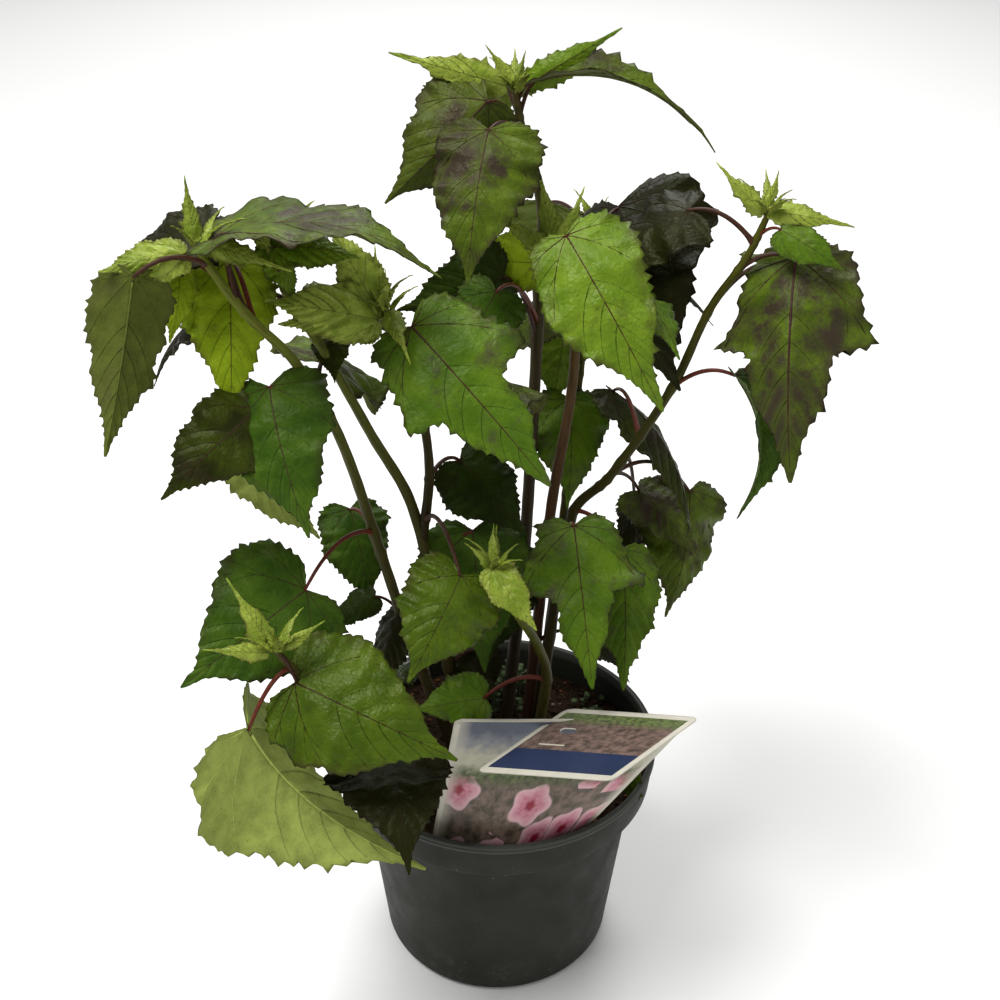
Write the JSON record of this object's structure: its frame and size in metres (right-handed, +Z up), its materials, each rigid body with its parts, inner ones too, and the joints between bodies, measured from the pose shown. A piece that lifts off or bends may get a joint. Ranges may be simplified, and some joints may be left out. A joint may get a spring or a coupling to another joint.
{
  "type": "potted rose mallow",
  "caption": "Young rose mallow shrub with leafy branching stems, standing in a round nursery pot of soil with a folded plant label.",
  "frame": {"origin": "middle of the pot's flat underside", "axes": "+Z up, +X to the right and +Y away from whoever looks at the label"},
  "size_m": [0.3606, 0.3224, 0.5438],
  "materials": {
    "pot_plastic": "moulded, matte, with a lighter scuffed rim",
    "soil": "damp crumbly potting soil",
    "label_card": "smooth printed card",
    "stem_bark": "olive and brown young bark",
    "foliage": "satin leaves, paler and duller underneath"
  },
  "bodies": {
    "root": {"foliage_back": "foliage", "foliage_east": "foliage", "foliage_fork": "foliage", "foliage_front": "foliage", "foliage_low": "foliage", "foliage_mid": "foliage", "foliage_red": "foliage", "foliage_tall": "foliage", "foliage_west": "foliage", "label": "label_card", "leaf_back_1": "foliage", "leaf_east_1": "foliage", "leaf_east_2": "foliage", "leaf_east_3": "foliage", "leaf_east_4": "foliage", "leaf_east_5": "foliage", "leaf_east_6": "foliage", "leaf_east_7": "foliage", "leaf_fork_1": "foliage", "leaf_fork_2": "foliage", "leaf_front_1": "foliage", "leaf_low_1": "foliage", "leaf_mid_1": "foliage", "leaf_west_1": "foliage", "leaf_west_2": "foliage", "leaf_west_3": "foliage", "pot": "pot_plastic", "soil": "soil", "stem_back": "stem_bark", "stem_east": "stem_bark", "stem_fork": "stem_bark", "stem_front": "stem_bark", "stem_low": "stem_bark", "stem_mid": "stem_bark", "stem_red": "stem_bark", "stem_tall": "stem_bark", "stem_west": "stem_bark"}
  },
  "joints": []
}
